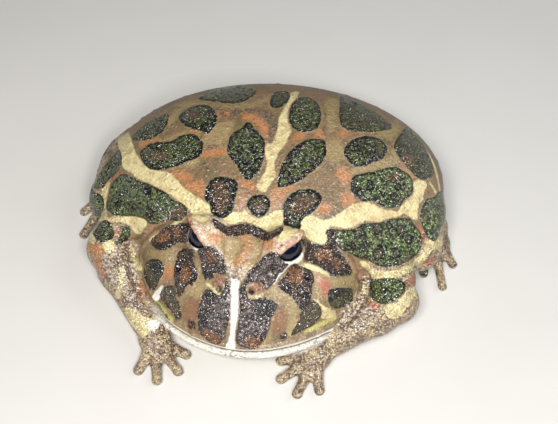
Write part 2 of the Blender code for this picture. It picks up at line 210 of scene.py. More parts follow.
def makeSkin():
    whole, owners = mergedFlesh()
    finder = BVHTree.FromBMesh(whole)
    mesh = bpy.data.meshes.new("skin")
    whole.to_mesh(mesh)
    whole.free()
    obj = bpy.data.objects.new("frogSkin", mesh)
    scene.collection.objects.link(obj)
    remesh = obj.modifiers.new("remesh", "REMESH")
    remesh.mode = "VOXEL"
    remesh.voxel_size = skin["voxel"] * mm
    applyModifiers(obj)
    dropScraps(obj)
    owner = np.array([owners[finder.find_nearest(vert.co)[2]] for vert in obj.data.vertices])
    names = np.array(fleshNodes)[owner]
    pairs = edges(obj.data)
    soft = byPart(names, skin["soft"])
    share = spread(soft[:, None], pairs, np.full(len(owner), 0.5), 4)[:, 0]
    co = spread(points(obj.data), pairs, share * skin["smoothing"], skin["steps"])
    setPoints(obj.data, co)
    # The body needs fewer faces than the face, the lids and the toes
    group = obj.vertex_groups.new(name="thin")
    keep = byPart(names, skin["thin"])
    for level in sorted(set(keep)):
        group.add([int(i) for i in np.nonzero(keep == level)[0]], float(level), "REPLACE")
    obj.data.calc_loop_triangles()
    thin = obj.modifiers.new("thin", "DECIMATE")
    thin.ratio = min(1.0, skin["triangles"] / len(obj.data.loop_triangles))
    thin.vertex_group = "thin"
    applyModifiers(obj)
    obj.vertex_groups.clear()
    obj.data.calc_loop_triangles()
    print("skin:", len(obj.data.vertices), "points,", len(obj.data.loop_triangles), "triangles")
    owner = np.array([owners[finder.find_nearest(vert.co)[2]] for vert in obj.data.vertices])
    return obj, np.array(fleshNodes)[owner]


frogSkin, skinPart = makeSkin()
skinPairs = edges(frogSkin.data)


def region(*starts, rounds=6):
    # A soft mask of the nodes whose names start so
    mask = np.zeros(len(skinPart))
    for start in starts:
        mask[np.char.startswith(skinPart, start)] = 1.0
    return spread(mask[:, None], skinPairs, np.full(len(mask), 0.5), rounds)[:, 0]


def surfaceFinder():
    mesh = frogSkin.data
    return BVHTree.FromPolygons([v.co for v in mesh.vertices], [p.vertices for p in mesh.polygons])


finder = surfaceFinder()


def throughPixel(x, y):
    # The place and normal of the skin behind a pixel of the photograph, or None off the frog
    ray = cameraForward + cameraRight * ((x - photo["width"] / 2) / pixelFocus)
    ray += cameraUp * ((photo["height"] / 2 - y) / pixelFocus)
    place, normal, _, _ = finder.ray_cast(eyePoint, ray.normalized())
    return (None, None) if place is None else (np.array(place), np.array(normal))


def traced(pixels):
    # Places and normals of the skin behind "x,y x,y ..."
    found = [throughPixel(*map(float, pixel.split(","))) for pixel in pixels.split()]
    found = [pair for pair in found if pair[0] is not None]
    return np.array([place for place, _ in found]), np.array([normal for _, normal in found])


def rounded(path, closed, steps=5):
    # Catmull-Rom through the points
    size = len(path)
    made = []
    for i in range(size if closed else size - 1):
        if closed:
            a, b, c, d = (path[(i + k) % size] for k in (-1, 0, 1, 2))
        else:
            a, b, c, d = (path[min(max(i + k, 0), size - 1)] for k in (-1, 0, 1, 2))
        for t in np.arange(steps) / steps:
            made.append(0.5 * (2 * b + (c - a) * t + (2 * a - 5 * b + 4 * c - d) * t**2
                               + (3 * b - a - 3 * c + d) * t**3))
    if not closed:
        made.append(path[-1])
    return np.array(made)


def lineDistance(co, path):
    # Nearest distance to a path, the share of the way along, and the nearest piece of it
    best = np.full(len(co), 1e9)
    along = np.zeros(len(co))
    piece = np.zeros(len(co), dtype=int)
    for i in range(len(path) - 1):
        step = path[i + 1] - path[i]
        t = np.clip((co - path[i]) @ step / max(step @ step, 1e-12), 0.0, 1.0)
        far = np.linalg.norm(co - path[i] - t[:, None] * step, axis=1)
        closer = far < best
        best[closer] = far[closer]
        along[closer] = (i + t[closer]) / (len(path) - 1)
        piece[closer] = i
    return best, along, piece


def insideDistance(flat, outline):
    # Signed distance to a closed outline in a plane, above zero inside
    ring = np.vstack([outline, outline[:1]])
    far, _, _ = lineDistance(flat, ring)
    inside = np.zeros(len(flat), dtype=bool)
    x, y = flat[:, 0], flat[:, 1]
    for (ax, ay), (bx, by) in zip(ring[:-1], ring[1:]):
        crossing = (ay > y) != (by > y)
        if ay != by:
            inside ^= crossing & (x < (bx - ax) * (y - ay) / (by - ay) + ax)
    return np.where(inside, far, -far)


# Lips, folds and nostrils are pushed into the skin
mouth = {
    "snout": -48.8,  # mm along Y
    "corner": -13.8,
    "height": 13.5,  # of the mouth line at the snout
    "cornerHeight": 7.5,
    "groove": (0.75, 0.0, 0.45),  # mm: depth or height, middle above the mouth line, half width
    "upperLip": (0.5, 1.2, 0.8),
    "lowerLip": (0.65, -1.5, 1.1),
    "fade": (-20.5, -13.5),  # mm along Y, where the lips end
    "steep": (0.15, 0.5),  # how upright the skin is where they start
}


def mouthLine(y):
    back = np.clip((y / mm - mouth["snout"]) / (mouth["corner"] - mouth["snout"]), 0.0, 1.0)
    return (mouth["height"] + (mouth["cornerHeight"] - mouth["height"]) * back**1.3) * mm


def bell(values, middle, width):
    return np.exp(-((values - middle) / width) ** 2)


def push(amounts):
    # Moves the skin along its normals by so many millimetres
    mesh = frogSkin.data
    setPoints(mesh, points(mesh) + normals(mesh) * (amounts * mm)[:, None])


def lipHeight():
    # Millimetres above the mouth line, on the front of the head and jaw
    co = points(frogSkin.data)
    return (co[:, 2] - mouthLine(co[:, 1])) / mm


def shapeLips():
    co, facing = points(frogSkin.data), normals(frogSkin.data)
    high = lipHeight()
    wall = region("head", "lower", rounds=3) * (1 - smoothStep(co[:, 1] / mm, *mouth["fade"]))
    wall *= smoothStep(np.linalg.norm(facing[:, :2], axis=1), *mouth["steep"])
    amounts = np.zeros(len(co))
    for name, sign in (("groove", -1), ("upperLip", 1), ("lowerLip", 1)):
        size, middle, width = mouth[name]
        amounts += sign * size * bell(high, middle, width)
    push(amounts * wall)


folds = {
    # pixels along each fold, then height of its ridge, width, and depth and width of the groove beside it (mm)
    "jawEdgeRight": ("170,317 160,305 151,294 146,282 142,270 141,257 143,247 149,238 157,231 168,226 "
        "180,222", 0.8, 0.9, 2.0, 1.7),
    "jawEdgeLeft": ("338,246 345,254 352,264 357,276 358,290 352,302 342,313 331,322", 0.7, 0.9, 1.8, 1.6),
    "ridge": ("246,232 245,245 242,258 238,268", 0.5, 1.5, 0.0, 1.0),
    "maskSides": ("222,247 226,262 230,280 231,305", 0.25, 1.0, 0.3, 1.0),
    "maskSideLeft": ("241,292 246,276 256,263 266,252", 0.25, 1.0, 0.3, 1.0),
    "elbowLeft": ("402,274 386,279 372,279 364,268", 0.3, 1.5, 0.8, 1.4),
    "haunchLeft": ("437,244 425,258 415,276 404,296", 0.2, 1.5, 0.8, 1.5),
    "armRight": ("140,238 128,232 112,226 98,224", 0.3, 1.5, 0.8, 1.4),
}


def shapeFold(pixels, height, width, depth, reach):
    path = rounded(traced(pixels)[0], False)
    co, facing = points(frogSkin.data), normals(frogSkin.data)
    far, along, piece = lineDistance(co, path)
    far = far / mm
    ends = smoothStep(along, 0.0, 0.12) * (1 - smoothStep(along, 0.88, 1.0))
    step = (path[1:] - path[:-1])[piece]
    side = np.sign(np.einsum("ij,ij->i", np.cross(step, facing), co - path[piece]))
    amounts = height * bell(far, 0.0, width) - depth * bell(far * side, -width - reach, reach)
    push(amounts * ends)


nostrils = {
    "pixels": "219,289 251,291.5",
    "radius": 0.8,  # mm
    "depth": 1.2,
    "rim": 0.35,
    "paintedShade": 1.92,  # width of the painted shade spot in each nostril
}


def shapeNostrils():
    co = points(frogSkin.data)
    amounts = np.zeros(len(co))
    for middle in traced(nostrils["pixels"])[0]:
        far = np.linalg.norm(co - middle, axis=1) / mm
        amounts += nostrils["rim"] * bell(far, nostrils["radius"] * 2.0, nostrils["radius"])
        amounts -= nostrils["depth"] * bell(far, 0.0, nostrils["radius"])
    push(amounts)


def shapeSkin():
    shapeLips()
    shapeNostrils()
    for pixels, *size in folds.values():
        shapeFold(pixels, *size)
    print("lips and folds shaped")


shapeSkin()

warts = {
    "seed": 7,
    "count": 420,
    "radius": (0.55, 1.15),  # mm
    "height": (0.12, 0.3),
    "lowest": 6.0,  # mm above the floor
}


def shapeWarts():
    chance = random.Random(warts["seed"])
    co = points(frogSkin.data)
    tree = KDTree(len(co))
    for i, place in enumerate(co):
        tree.insert(place, i)
    tree.balance()
    amounts = np.zeros(len(co))
    for _ in range(warts["count"]):
        middle = co[chance.randrange(len(co))]
        radius = chance.uniform(*warts["radius"])
        height = chance.uniform(*warts["height"])
        if middle[2] < warts["lowest"] * mm:
            continue
        for _, i, far in tree.find_range(middle, radius * 2.2 * mm):
            amounts[i] = max(amounts[i], height * math.exp(-((far / mm / radius) ** 2)))
    push(amounts)


shapeWarts()
print("warts raised")
finder = surfaceFinder()

# Every outline and line was traced in pixels of the photograph, as "x,y x,y ...", and is put on the skin through the
# camera.
# The body's dark blotches: how green (0 brown, 1 bright green), black rim in mm, outline.
bodyBlotches = {
    "rumpRight": (0.3, 0.3, "197,99 205,94 225,87 245,87 256,91 252,97 240,103 222,103"),
    "rumpSmall": (0.15, 0.6, "271,98 273,94 279,91 288,92 290,97 287,103 281,107 273,108 270,104"),
    "rumpRound": (0.5, 0.5, "290,110 294,102 301,97 310,98 318,104 321,113 320,123 315,130 304,132 294,129 "
        "289,120"),
    "rumpLeft": (0.25, 0.1, "340,104 345,97 360,98 376,102 389,110 396,117 391,125 380,131 364,132 348,130 "
        "340,122"),
    "flankRear": (0.2, 0.2, "394,144 400,135 408,127 414,130 422,143 430,158 434,172 430,178 420,179 411,172 "
        "403,162 396,153"),
    "backRight": (0.45, 0.9, "179,118 183,112 190,108 199,105 209,106 215,112 217,121 212,130 207,134 201,131 "
        "193,129 184,125"),
    "edgeTop": (0.4, 0.3, "132,137 139,130 149,122 160,116 168,114 168,122 164,130 157,136 146,140 135,141"),
    "middleRight": (0.6, 0.8, "140,154 144,148 152,143 165,142 172,141 180,136 190,134 199,137 203,143 202,152 "
        "198,158 188,161 178,166 166,169 154,170 145,165"),
    "edgeRight": (0.4, 0.2, "108,147 117,151 122,157 121,167 116,174 108,181 103,188 94,185 97,170 102,156"),
    "spineOval": (0.55, 0.8, "227,150 229,140 233,133 242,128 247,122 252,124 254,129 261,134 265,145 264,158 "
        "260,169 254,177 248,180 243,176 236,165 230,157"),
    "leaf": (0.5, 0.7, "325,141 326,152 323,161 313,171 301,180 288,186 278,187 278,178 281,167 286,157 294,148 "
        "304,141 316,139"),
    "middleLeft": (0.4, 0.9, "344,153 346,146 354,139 366,136 377,138 386,145 387,151 382,159 370,164 357,167 "
        "349,162"),
    "lowerLeft": (0.85, 0.35, "352,178 360,174 372,172 384,169 396,167 403,171 410,176 413,184 412,194 405,199 "
        "400,206 390,208 380,205 372,201 362,201 356,195 351,190"),
    "flankRight": (1.0, 0.25, "122,174 129,175 137,180 148,184 157,188 166,193 173,199 181,203 188,208 185,217 "
        "178,221 168,220 160,223 151,224 145,219 134,216 120,216 110,213 106,206 109,194 111,184 116,179"),
    "shoulderRight": (0.1, 1.3, "205,193 208,184 214,178 224,177 234,179 238,186 236,195 234,205 231,213 225,218 "
        "217,217 211,212 210,205 205,199"),
    "nape": (0.15, 0.7, "247,206 249,200 255,195 263,195 269,199 270,206 267,213 260,217 252,214"),
    "shoulderLeft": (0.15, 1.1, "283,207 286,200 292,193 300,190 311,189 318,192 322,199 318,206 313,212 305,217 "
        "301,223 300,229 292,228 284,225 284,216"),
    "flankLeft": (1.0, 0.25, "326,231 334,229 346,230 356,228 362,224 374,223 384,222 390,219 402,218 409,218 "
        "414,224 420,232 422,241 420,250 414,257 406,262 396,266 386,267 376,265 368,260 358,258 349,253 341,250 "
        "334,242"),
    "edgeLeft": (0.9, 0.2, "425,201 430,198 438,199 441,212 440,228 436,241 428,238 423,228 420,214"),
    "haunchLeft": (0.6, 0.2, "423,267 430,266 436,268 438,276 434,284 424,287 419,284 421,275"),
    "elbowLeft": (0.8, 0.25, "370,282 377,279 388,278 400,280 406,285 404,293 396,299 386,304 376,302 370,294"),
    "elbowRight": (0.5, 0.3, "96,224 104,220 111,224 114,232 112,239 104,242 97,240 94,232"),
    "spotRight": (1.0, 0.3, "123,228 129,226 131,231 129,238 122,243 116,245 117,240 121,234"),
    "spotLeft": (0.15, 0.3, "328,291 336,288 346,288 352,289 353,298 349,305 340,308 332,307 328,300"),
    "earRight": (0.05, 0.2, "144,268 147,262 153,259 160,260 164,266 163,274 159,281 156,288 151,290 147,283 "
        "144,276"),
}
# The face's dark blotches: how grey (0 red brown, 1 grey olive), black rim in mm, outline.
faceBlotches = {
    "eyeBand": (0.2, 0.35, "212,219 217,220 221,223 226,226 233,226 240,224 248,224 256,227 264,230 272,231 "
        "277,228 282,226 284,229 280,234 274,238 268,241 263,241 258,238 250,234 242,235 236,236 229,236 224,234 "
        "219,230 214,226"),
    "cheekRight": (0.0, 0.25, "180,224 186,224 192,225 191,236 190,243 182,243 175,243 170,246 165,250 158,250 "
        "153,246 151,241 155,236 162,230 169,226"),
    "besideEyeRight": (0.15, 0.3, "178,252 184,249 191,249 195,251 193,257 195,265 198,273 197,280 192,284 186,287 "
        "183,293 179,297 177,291 175,283 174,273 175,266 177,259"),
    "jawRight": (1.0, 0.2, "160,296 163,289 168,286 174,286 177,292 176,298 179,302 181,310 181,319 176,318 "
        "172,312 166,305"),
    "underEyeRight": (0.35, 0.45, "198,250 204,246 210,246 216,250 221,257 225,264 226,272 222,275 216,273 211,278 "
        "206,279 203,275 202,268 201,260"),
    "snoutRight": (0.7, 0.3, "202,298 205,290 211,290 218,295 224,288 226,279 229,281 230,291 230,305 229,318 "
        "227,330 224,339 218,344 210,343 204,337 199,330 198,319 199,308"),
    "underEyeLeft": (0.6, 0.35, "266,255 273,252 280,254 284,260 288,264 284,270 279,274 275,281 270,287 266,290 "
        "261,287 257,283 252,282 247,285 242,291 244,283 250,274 257,265 262,259"),
    "snoutLeft": (0.75, 0.3, "240,293 243,288 247,292 249,299 256,299 264,299 270,300 277,305 275,312 271,318 "
        "270,325 268,332 264,340 259,346 253,349 245,348 239,345 236,340 237,330 239,320 240,308"),
    "cheekMiddleLeft": (0.2, 0.3, "290,266 295,263 299,266 306,268 312,272 314,279 312,287 311,298 306,306 301,310 "
        "297,304 293,298 287,294 280,288 278,284 283,278 287,272"),
    "jawLeft": (1.0, 0.2, "310,301 317,302 321,308 321,315 316,322 310,327 303,330 296,334 291,336 294,328 299,320 "
        "301,311 305,306"),
    "cheekLeft": (0.0, 0.3, "301,238 307,241 313,245 320,245 325,244 327,238 326,232 331,230 335,236 338,248 "
        "344,257 350,266 351,272 344,275 334,275 327,271 320,267 311,263 304,256 300,248"),
}
# Plain patches of one colour each.
patches = {
    "tan": [
        "326,100 337,99 337,112 338,126 331,131 326,122",
        "328,142 340,140 343,152 341,162 332,164 327,152",
        "205,134 214,126 224,122 234,122 231,131 226,142 221,147 210,145 203,142",
        "186,160 197,157 199,163 192,168 184,167",
        "158,141 172,135 184,131 191,131 184,135 172,140",
        "168,118 178,108 184,106 179,115 172,125 167,126",
        "176,104 190,101 215,104 245,104 262,99 269,94 268,100 250,108 225,108 200,104 184,108",
        "350,169 362,166 376,162 388,157 394,150 399,155 396,164 384,168 370,171 354,174",
        "372,133 388,129 397,119 405,118 400,128 394,137 388,141 380,136",
        "165,249 176,247 178,251 176,259 174,266 166,265 160,258 152,256 146,254 150,250",
        "196,254 199,262 201,272 204,279 210,281 207,287 202,294 198,300 190,296 182,300 183,294 188,288 195,284 "
        "199,277 196,264",
        "268,291 275,285 282,291 290,297 297,306 299,312 295,322 290,326 288,314 284,302 274,298",
        "312,264 322,270 330,276 330,285 322,296 314,298 313,288 315,278",
        "331,277 345,277 355,275 357,282 354,288 345,287 334,287 329,283",
        "262,340 266,334 271,328 273,334 268,342 262,347",
        "194,216 204,216 210,219 205,224 197,222",
    ],
    "pink": [
        "236,194 242,190 248,196 246,206 240,211 235,209 234,201",
        "271,198 280,194 285,196 282,204 277,210 271,211",
        "250,113 262,118 268,126 269,137 263,138 262,131 254,122",
        "336,166 346,168 349,176 347,188 343,192 341,180",
        "160,272 166,278 173,281 166,284 159,281",
        "348,256 354,260 361,270 364,278 358,279 354,268",
        "314,272 321,274 327,281 322,288 316,284",
        "100,210 112,219 118,222 108,223",
        "146,232 152,226 162,221 168,222 158,229 150,237",
        "404,296 414,288 420,292 410,302",
    ],
    "orange": [
        "171,171 182,170 192,176 190,181 182,182 175,178",
        "186,184 195,180 204,181 205,192 203,198 196,193 188,190",
        "140,145 148,140 160,139 152,143 143,147",
        "190,129 197,131 201,135 193,135",
        "216,112 224,111 230,114 224,117 217,116",
        "242,112 252,114 262,121 268,128 266,136 260,130 252,122 244,119",
        "294,135 302,132 306,136 298,140 292,143",
        "317,129 322,130 324,137 318,138 315,133",
        "338,132 346,130 348,136 340,138",
        "202,152 212,149 224,148 228,152 222,156 210,157 202,157",
        "238,177 246,181 254,182 256,188 250,190 242,185",
        "272,190 280,187 290,186 296,188 288,191 278,196 272,197",
        "316,208 322,203 330,206 331,212 322,213",
        "400,168 406,170 414,178 411,181 404,176",
        "341,196 350,192 356,200 352,206 344,207",
        "336,172 347,171 352,176 346,182 340,180",
        "164,266 172,266 176,271 174,277 167,277 162,272",
        "87,244 95,243 103,247 106,252 99,256 92,253",
        "93,258 99,259 104,267 106,277 100,276 96,267",
        "137,286 143,290 144,300 140,302 137,295",
        "206,236 214,233 224,236 228,241 220,246 210,243",
        "264,240 272,238 280,243 288,244 279,250 268,252 262,248",
    ],
    "sienna": [
        "275,313 284,311 287,318 284,327 278,333 272,333 272,325",
        "185,301 192,297 198,303 197,316 196,328 190,331 186,322 183,312",
    ],
    "sand": [
        "286,334 290,322 296,318 297,328 293,336",
        "222,240 229,237 240,240 241,247 237,256 232,263 229,270 226,266 224,259 221,251 218,246",
        "252,241 258,242 262,250 262,256 256,264 250,272 244,280 240,288 236,280 240,271 246,262 252,252",
    ],
    "ridge": [
        "237,234 244,235 252,238 253,246 249,256 244,264 238,269 232,266 236,258 243,250 241,242",
    ],
    "red": [
        "110,176 114,173 120,172 119,176 113,179",
        "417,228 421,226 425,237 424,241 420,237",
        "424,260 430,258 433,261 430,265 425,264",
        "411,278 415,274 421,275 422,279 418,283 417,290 412,285",
        "386,277 391,276 393,282 389,286",
        "113,234 118,231 121,233 119,238 114,239",
        "321,283 327,280 331,287 328,295 324,297 321,291",
        "369,302 376,302 379,307 373,309",
        "108,218 111,217 112,221 108,222",
    ],
    "purple": [
        "205,108 225,108 250,108 268,110 274,118 270,124 256,114 236,116 218,120 214,112",
        "275,118 280,124 276,138 270,142 268,130",
        "200,146 210,144 222,147 212,149 202,151",
        "325,110 327,124 325,136 321,128",
        "356,278 364,272 371,278 370,292 364,300 357,292",
        "330,212 338,210 344,213 336,217 328,216",
    ],
    "cream": [
        "118,139 128,132 131,139 134,148 139,158 147,166 158,171 168,172 175,178 183,187 192,194 202,200 210,206 "
        "212,212 209,218 204,222 197,220 192,216 189,210 181,203 171,195 160,189 149,183 138,179 131,173 123,168 "
        "121,158 119,148",
        "103,218 115,217 130,216 143,218 147,224 143,230 138,234 133,231 131,226 122,222 112,222",
        "104,186 110,182 108,192 106,204 107,212 103,222 98,218 100,205 101,194",
        "110,240 114,243 115,252 113,258 108,257 106,251 102,246 105,242",
        "84,240 88,232 93,228 95,236 90,243 85,246",
        "291,93 299,92 296,99 291,104 288,112 288,122 291,129 289,136 286,143 280,150 276,158 274,167 276,176 "
        "270,184 266,191 260,191 257,186 261,178 266,170 267,160 264,150 267,144 272,143 275,136 278,126 280,116 "
        "284,108 288,101",
        "230,213 240,212 246,210 250,216 258,219 266,216 273,212 280,210 284,216 283,222 280,227 274,231 266,230 "
        "258,226 250,223 241,222 232,224 225,222 221,219 226,217",
        "300,222 304,217 314,216 322,220 332,218 340,213 350,206 358,203 368,203 378,207 388,210 398,211 402,205 "
        "409,199 414,192 413,183 420,180 427,184 424,192 423,199 419,204 418,212 417,221 411,217 404,214 396,217 "
        "386,219 378,222 366,221 358,224 350,228 338,227 330,226 327,232 327,240 324,244 318,244 312,242 306,237 "
        "300,231",
        "360,261 366,262 374,269 384,271 394,270 404,267 412,262 418,257 424,248 428,240 434,240 441,236 443,241 "
        "436,248 428,256 421,264 413,270 404,275 392,278 380,279 371,278 368,271 362,266",
        "388,304 396,303 402,297 408,290 414,287 417,292 412,300 406,309 400,316 392,320 386,314 386,308",
        "130,246 134,248 134,256 139,262 142,270 137,270 133,264 130,256",
        "119,268 124,268 124,280 122,292 119,299 115,297 118,285 118,276",
        "124,309 133,308 140,314 147,318 156,320 160,326 150,331 143,338 136,330 128,320",
        "295,258 302,259 312,265 324,270 330,274 328,277 318,272 308,269 299,266 293,262",
        "283,228 292,227 298,230 292,236 284,240 277,243 279,236",
        "166,229 175,222 182,222 174,226 160,234 150,242 150,238",
        "313,299 319,301 323,306 331,309 336,313 330,318 321,318 321,309 316,304",
    ],
    "white": [
        "231.7,280 239.3,281 238.2,292 238,310 236.2,325 234.5,338 235,349 226,349 229,338 230.8,325 231,308 "
        "231,292",
        "152,297 156,291 163,285 162,291 160,298 156,301",
        "279,254 283,261 290,262 297,257 301,251 303,257 299,262 293,264 286,266 281,262",
        "148,322 156,320 160,326 150,331",
    ],
    "core": [
        "212,186 218,182 224,184 228,190 228,200 224,209 219,213 214,209 213,201 215,193",
        "291,206 295,200 302,197 310,195 316,196 317,202 310,207 304,213 296,215 291,212",
        "254,205 258,201 263,203 264,208 260,212 254,211",
        "150,157 155,153 164,152 170,155 164,160 154,161",
        "174,212 181,206 186,209 184,216 177,220 173,217",
        "189,113 196,111 200,115 195,119 189,117",
        "388,174 398,173 400,178 392,181 387,179",
        "403,155 411,154 416,162 411,167 405,163",
    ],
    "rust": [
        "174,228 181,229 181,236 175,237",
        "155,240 163,233 170,231 172,237 164,242",
        "212,277 218,274 224,276 225,283 221,289 216,285",
        "249,284 255,282 262,284 265,289 261,293 254,292 249,289",
        "316,252 326,249 331,255 324,260 316,258",
        "331,260 340,261 343,267 335,269",
        "244,339 256,338 263,342 257,347 247,346",
        "202,330 213,330 221,338 218,343 209,342",
        "207,251 215,254 215,262 208,260",
        "187,266 191,275 186,284 181,279 182,270",
        "289,268 298,268 304,276 298,284 290,280",
    ],
    "ink": [
        "181,223 191,223 191,227 181,227",
        "154,245 166,243 176,242 169,248 158,250",
        "322,266 336,271 350,270 350,275 336,276 328,273",
        "206,292 213,293 214,303 207,304",
        "199,308 206,308 208,322 203,328 199,322",
        "256,299 270,300 273,308 270,317 262,316 256,309",
        "215,249 221,257 225,265 226,273 221,269 218,258",
        "203,269 212,270 214,276 207,279 203,275",
        "152,261 160,262 163,268 160,273 153,271",
        "145,188 150,188 151,195 146,196",
        "189,322 193,321 195,327 190,329",
        "280,336 285,333 286,338 281,341",
        "352,186 362,190 366,198 358,199 352,192",
        "330,289 345,289 343,294 332,296",
    ],
    "yellow": [
        "305,330 318,323 330,318 337,316 334,320 326,324 316,329 306,333",
        "153,299 160,304 168,313 174,320 170,321 163,313 155,303",
    ],
    "speckle": [
        "224,262 232,266 242,268 247,271 241,280 233,282 227,276",
        "211,244 217,248 223,257 227,267 224,269 219,259 214,252",
        "226,277 230,282 231,300 229,312 226,300",
        "336,238 344,243 349,251 344,253 338,247",
        "165,211 175,211 172,220 160,222",
        "275,244 283,244 282,250 275,249",
        "108,250 126,246 134,262 138,286 146,308 134,310 112,298 104,278 102,262",
        "352,300 366,303 374,316 362,328 344,330 338,320",
    ],
}
# Thin marks: colour, width in pixels and the middle of the line.
strokes = [
    ("cream", 4, "426,150 434,165 438,180 440,192 438,201"),
    ("cream", 3, "430,183 436,193"),
    ("white", 4.5, "288,264 281,272 273,282"),
    ("white", 2, "191,241 193,246 198,250 203,247"),
    ("cream", 2.5, "207,284 213,289 219,294 224,289"),
    ("cream", 2.5, "248,290 250,296 257,297 262,294"),
    ("ink", 3.5, "272,253 264,257 257,266 250,274 244,284 241,291"),
    ("ink", 2.5, "204,246 212,247 219,253 224,262 226,272"),
    ("orange", 3, "300,231 307,236 315,242"),
    ("ink", 2.5, "302,237 309,242 318,246"),
    ("red", 4, "120,174 111,178"),
    ("orange", 4, "150,298 143,288 139,280"),
    # painted shade: a dark line in the crease between the jaw's edge and the arm
    ("ink", 2, "141,292 149,296 158,305 168,319"),
]
# Craters in the blotches: radius in pixels and their middles.
craters = {
    2.5: "300,149 238,160 246,163 301,308 193,278 191,284",
    3: "353,246 362,248 389,226 119,204 135,207 295,153 313,162 306,174 240,150 254,150 258,161 307,278 287,288 "
        "306,296 179,269 357,149 372,155 205,126 160,147 370,187 397,187 393,197",
    3.5: "396,254 148,191 288,161 286,175 249,172",
    4: "408,239 150,213",
    4.5: "359,232 377,229 400,230",
    5: "378,254",
}


def inPlane(places, facing):
    # The middle of an outline and two directions along the skin there
    middle = places.mean(axis=0)
    normal = facing.mean(axis=0)
    normal /= np.linalg.norm(normal)
    across = np.cross(normal, (0.0, 0.0, 1.0) if abs(normal[2]) < 0.9 else (0.0, 1.0, 0.0))
    across /= np.linalg.norm(across)
    return middle, normal, across, np.cross(normal, across)


class Layer:
    # One kind of marking: distance inside its edge in mm, and the values that go with it
    def __init__(self, name, *extras):
        self.name = name
        self.depth = np.full(len(skinPoints), -9.0)
        self.extras = {name + extra: np.zeros(len(skinPoints)) for extra in extras}

    def lay(self, near, depth, values):
        better = depth > self.depth[near]
        spots = np.nonzero(near)[0][better]
        self.depth[spots] = depth[better]
        for kept, value in zip(self.extras.values(), values):
            kept[spots] = value

    def outline(self, places, facing, *values):
        if len(places) < 3:
            return
        middle, normal, across, along = inPlane(places, facing)
        axes = np.stack([across, along], axis=1)
        ring = rounded((places - middle) @ axes, True, 4) / mm
        reach = np.linalg.norm(ring, axis=1).max() * mm
        offset = skinPoints - middle
        near = (np.linalg.norm(offset, axis=1) < reach + 3 * mm) & (skinFacing @ normal > 0.05)
        near &= np.abs(offset @ normal) < 0.6 * reach + 2.5 * mm
        self.lay(near, insideDistance(offset[near] @ axes / mm, ring), values)

    def line(self, places, width, *values):
        path = rounded(places, False) if len(places) > 2 else places
        low, high = path.min(axis=0) - 5 * mm, path.max(axis=0) + 5 * mm
        near = np.all((skinPoints > low) & (skinPoints < high), axis=1)
        far, _, _ = lineDistance(skinPoints[near], path)
        self.lay(near, width / 2 - far / mm, values)

    def dots(self, middles, width):
        for middle in middles:
            self.line(np.array([middle, middle + 1e-5]), width)

    def store(self):
        storeMask(self.name, self.depth)
        for name, values in self.extras.items():
            storeMask(name, values)


def storeMask(name, values):
    made = frogSkin.data.attributes.new(name, "FLOAT", "POINT")
    made.data.foreach_set("value", values.astype(np.float32))


pixelSize = 0.33  # mm on the skin, about
craterWidth = 2.3  # times the radius, rim and all
skinPoints, skinFacing = points(frogSkin.data), normals(frogSkin.data)
layers = {name: Layer(name) for name in (*patches, "pit", "lidRim")}
layers["green"] = Layer("green", "Tint", "Rim")
layers["brown"] = Layer("brown", "Tint", "Rim")
for name, blotches in (("green", bodyBlotches), ("brown", faceBlotches)):
    for tint, rim, pixels in blotches.values():
        layers[name].outline(*traced(pixels), tint, rim)
for name, outlines in patches.items():
    for pixels in outlines:
        layers[name].outline(*traced(pixels))
for name, width, pixels in strokes:
    layers[name].line(traced(pixels)[0], width * pixelSize)
for radius, pixels in craters.items():
    layers["pit"].dots(traced(pixels)[0], craterWidth * radius * pixelSize)
# painted shade: a black spot in each nostril's hollow
layers["ink"].dots(traced(nostrils["pixels"])[0], nostrils["paintedShade"])

lidRims = {
    # mm from the middle of the left eye, from the horn's tip to the inner corner; mirrored for the right
    "path": [(4.2, 2.6, 5.6), (3.4, 1.0, 5.1), (2.6, -0.5, 5.0), (1.2, -2.2, 4.8), (-0.6, -3.8, 3.8),
             (-2.2, -4.8, 2.4)],
    "width": 1.5,
}


def layLidRims():
    for node, side in (("eye_left", 1), ("eye_right", -1)):
        low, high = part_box(node)
        middle = np.array((low + high) / 2)
        path = [middle + np.array((side * x, y, z)) * mm for x, y, z in lidRims["path"]]
        layers["lidRim"].line(np.array(path), lidRims["width"])


layLidRims()
print("markings of the photograph laid")

# Where the photograph doesn't reach: middle in mm, half length, half width, turn, greenness, rim
hiddenBlotches = [
    ((20, 52, 24), 8, 5, 10, 0.6, 0.5), ((-22, 50, 26), 9, 5, -10, 0.6, 0.5), ((0, 56, 14), 7, 5, 0, 0.7, 0.4),
    ((44, 40, 20), 7, 5, 30, 0.8, 0.4), ((-46, 36, 20), 8, 5, -30, 0.8, 0.4), ((59, 10, 24), 5, 8, 80, 0.8, 0.3),
    ((-60, -2, 16), 7, 5, 0, 0.7, 0.3), ((-60, 20, 20), 6, 5, 10, 0.6, 0.3), ((60, 25, 14), 5, 4, 0, 0.6, 0.3),
    ((30, 55, 9), 7, 4, 0, 0.5, 0.4), ((-32, 53, 10), 7, 4, 0, 0.5, 0.4),
]
hidden = {"seed": 3, "corners": 10, "wander": (0.82, 1.15)}  # of their outlines


def layHidden():
    chance = random.Random(hidden["seed"])
    for middle, long, wide, turn, tint, rim in hiddenBlotches:
        place, normal, _, _ = finder.find_nearest(Vector(middle) * mm)
        _, _, across, along = inPlane(np.array([place]), np.array([normal]))
        ring = []
        for i in range(hidden["corners"]):
            angle = i * math.tau / hidden["corners"]
            reach = chance.uniform(*hidden["wander"]) * mm
            x, y = long * math.cos(angle) * reach, wide * math.sin(angle) * reach
            c, s = math.cos(math.radians(turn)), math.sin(math.radians(turn))
            ring.append(np.array(place) + across * (x * c - y * s) + along * (x * s + y * c))
        layers["green"].outline(np.array(ring), np.array([normal] * len(ring)), tint, rim)


layHidden()
for layer in layers.values():
    layer.store()


